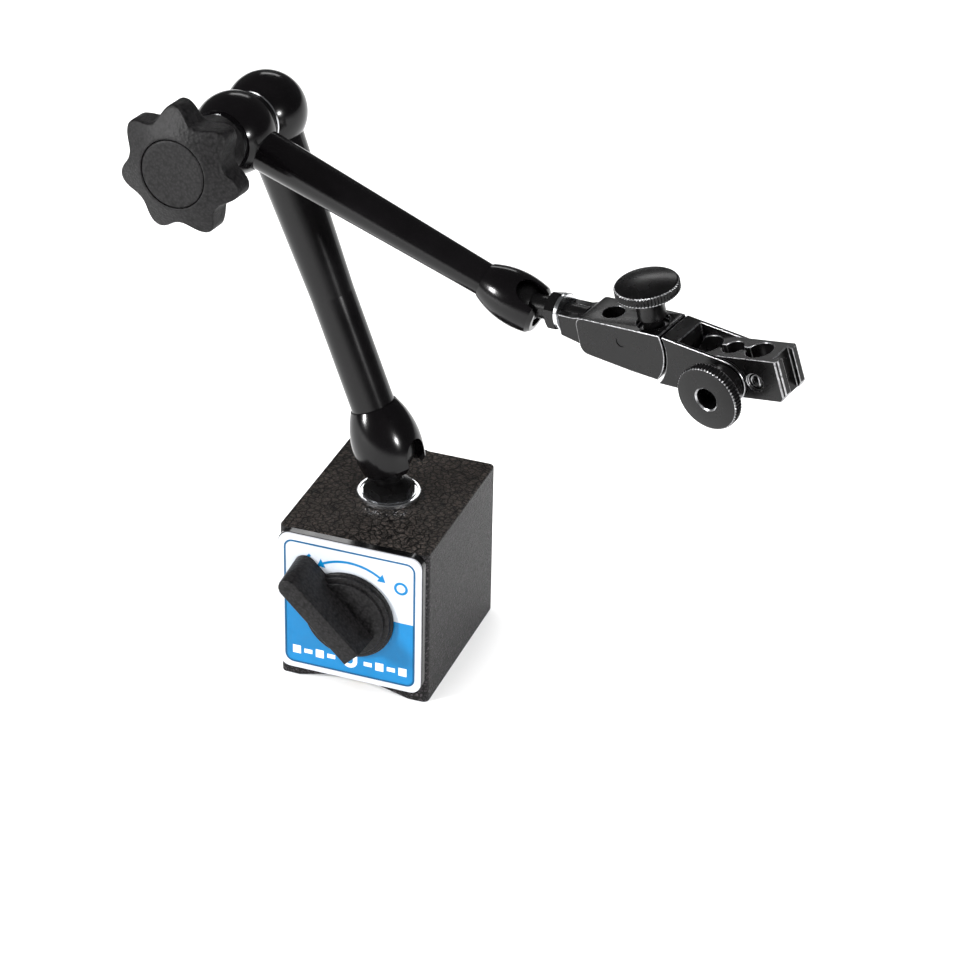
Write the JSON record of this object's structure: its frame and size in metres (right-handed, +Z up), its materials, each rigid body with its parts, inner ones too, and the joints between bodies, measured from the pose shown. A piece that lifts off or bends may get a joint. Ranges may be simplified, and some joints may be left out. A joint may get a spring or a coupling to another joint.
{
  "type": "magnetic base indicator stand",
  "caption": "Switchable magnet block with a ball-jointed arm locked by one central knob, ending in a fine-adjusting clamp for an indicator stem or dovetail.",
  "frame": {"origin": "centre of the magnet block underside, over the V-groove and below the swivel stud", "axes": "+Z up along the swivel stud, -Y towards the switch side, +X to the right of someone facing the switch"},
  "size_m": [0.2103, 0.0931, 0.1981],
  "materials": {
    "wrinkle_black": "crackle-texture enamel",
    "brass": "machined",
    "ground_steel": "ground",
    "rear_disc": "painted over with the block",
    "bezel_black": "moulded",
    "label": "printed plate",
    "nickel": "nickel plated",
    "knob_plastic": "fine leather grain",
    "magnet": "sintered",
    "gloss_enamel": "gloss black enamel",
    "black_oxide": "oiled black oxide"
  },
  "bodies": {
    "base": {"pole_left": "wrinkle_black", "pole_right": "wrinkle_black", "separator_top": "brass", "separator_bottom": "brass", "front_bearing": "brass", "rear_cover": "rear_disc", "stop_pin": "ground_steel", "detent_ball": "ground_steel", "detent_spring": "ground_steel", "front_bezel": "bezel_black", "bezel_screws": "ground_steel", "label_plate": "label", "stud_washer": "nickel"},
    "switch": {"switch_knob": "knob_plastic", "knob_pin": "ground_steel", "rotor_shaft": "ground_steel", "rotor_magnet": "magnet", "rotor_caps": "brass"},
    "swivel": {"swivel_stud": "black_oxide"},
    "lower_arm": {"lower_cup": "gloss_enamel", "lower_tube": "gloss_enamel", "rear_elbow_ball": "gloss_enamel", "elbow_ring": "nickel"},
    "lower_push": {"lower_push_rod": "ground_steel", "lower_seat": "ground_steel"},
    "elbow_draw": {"elbow_bolt": "ground_steel", "rear_wedge": "ground_steel", "front_wedge": "ground_steel"},
    "elbow_knob": {"star_knob": "knob_plastic", "knob_insert": "brass", "knob_cap": "knob_plastic", "knob_washer": "nickel"},
    "upper_arm": {"front_elbow_ball": "gloss_enamel", "upper_tube": "gloss_enamel", "upper_cup": "gloss_enamel"},
    "upper_push": {"upper_push_rod": "ground_steel", "upper_seat": "ground_steel"},
    "holder_stem": {"holder_stud": "black_oxide", "holder_washer": "nickel"},
    "holder": {"fine_body": "black_oxide", "hinge_pin": "ground_steel", "fine_spring": "ground_steel"},
    "fine_pad": {"fine_pusher": "brass"},
    "fine_knob": {"fine_screw": "black_oxide"},
    "yoke": {"yoke": "black_oxide"},
    "clamp": {"clamp_block": "black_oxide"},
    "clamp_knob": {"clamp_screw": "black_oxide"}
  },
  "joints": [
    {"name": "switch_turn", "type": "hinge", "parent": "base", "child": "switch", "pos_m": [0, -0.03, 0.03], "axis": [0, 1, 0], "range_deg": [0, 90]},
    {"name": "stand_swivel", "type": "hinge", "parent": "base", "child": "swivel", "pos_m": [0, 0, 0.055], "axis": [0, 0, 1], "continuous": true},
    {"name": "stand_tilt", "type": "hinge", "parent": "swivel", "child": "lower_arm", "pos_m": [0, 0, 0.0714], "axis": [-0.1925, -0.9813, 0], "range_deg": [-96, 2.5]},
    {"name": "knob_turn", "type": "hinge", "parent": "lower_arm", "child": "elbow_knob", "pos_m": [-0.0465, -0.01874, 0.17687], "axis": [-0.0956, -0.9945, 0.0419], "range_deg": [0, 360]},
    {"name": "bolt_draw", "type": "slide", "parent": "lower_arm", "child": "elbow_draw", "axis": [0.0956, 0.9945, -0.0419], "range_m": [0, 0.00101]},
    {"name": "lower_rod_push", "type": "slide", "parent": "lower_arm", "child": "lower_push", "axis": [-0.3866, 0.0758, 0.9191], "range_m": [0, 0.00037]},
    {"name": "elbow_fold", "type": "hinge", "parent": "lower_arm", "child": "upper_arm", "pos_m": [-0.0448, -0.00099, 0.17613], "axis": [0.0956, 0.9945, -0.0419], "range_deg": [-150, 20]},
    {"name": "upper_rod_push", "type": "slide", "parent": "upper_arm", "child": "upper_push", "axis": [-0.9409, 0.104, 0.3223], "range_m": [0, 0.00037]},
    {"name": "holder_tilt", "type": "hinge", "parent": "upper_arm", "child": "holder_stem", "pos_m": [0.05025, -0.02119, 0.14366], "axis": [-0.2386, -0.8789, -0.413], "range_deg": [-38, 50]},
    {"name": "holder_swivel", "type": "hinge", "parent": "holder_stem", "child": "holder", "pos_m": [0.06449, -0.02606, 0.14579], "axis": [0.9368, -0.3203, 0.1405], "continuous": true},
    {"name": "fine_push", "type": "slide", "parent": "holder", "child": "fine_pad", "axis": [0.1791, 0.0941, -0.9793], "range_m": [-0.00025, 0.00025]},
    {"name": "fine_turn", "type": "hinge", "parent": "fine_pad", "child": "fine_knob", "pos_m": [0.09343, -0.03751, 0.1602], "axis": [0.1791, 0.0941, -0.9793], "range_deg": [-180, 180]},
    {"name": "yoke_tilt", "type": "hinge", "parent": "holder", "child": "yoke", "pos_m": [0.08813, -0.03396, 0.14813], "axis": [0.3005, 0.9426, 0.1455], "range_deg": [-2, 2]},
    {"name": "clamp_swivel", "type": "hinge", "parent": "yoke", "child": "clamp", "pos_m": [0.12226, -0.04479, 0.14782], "axis": [-0.3005, -0.9426, -0.1455], "range_deg": [-80, 80]},
    {"name": "clamp_turn", "type": "hinge", "parent": "yoke", "child": "clamp_knob", "pos_m": [0.11925, -0.05422, 0.14636], "axis": [-0.3005, -0.9426, -0.1455], "range_deg": [0, 270]}
  ],
  "couplings": [
    {"joint": "bolt_draw", "follows": "knob_turn", "m_per_rad": 0.00015915},
    {"joint": "lower_rod_push", "follows": "knob_turn", "m_per_rad": 0.000057928},
    {"joint": "upper_rod_push", "follows": "knob_turn", "m_per_rad": 0.000057928},
    {"joint": "fine_turn", "follows": "fine_push", "rad_per_m": 12566},
    {"joint": "yoke_tilt", "follows": "fine_push", "rad_per_m": 128.21}
  ]
}
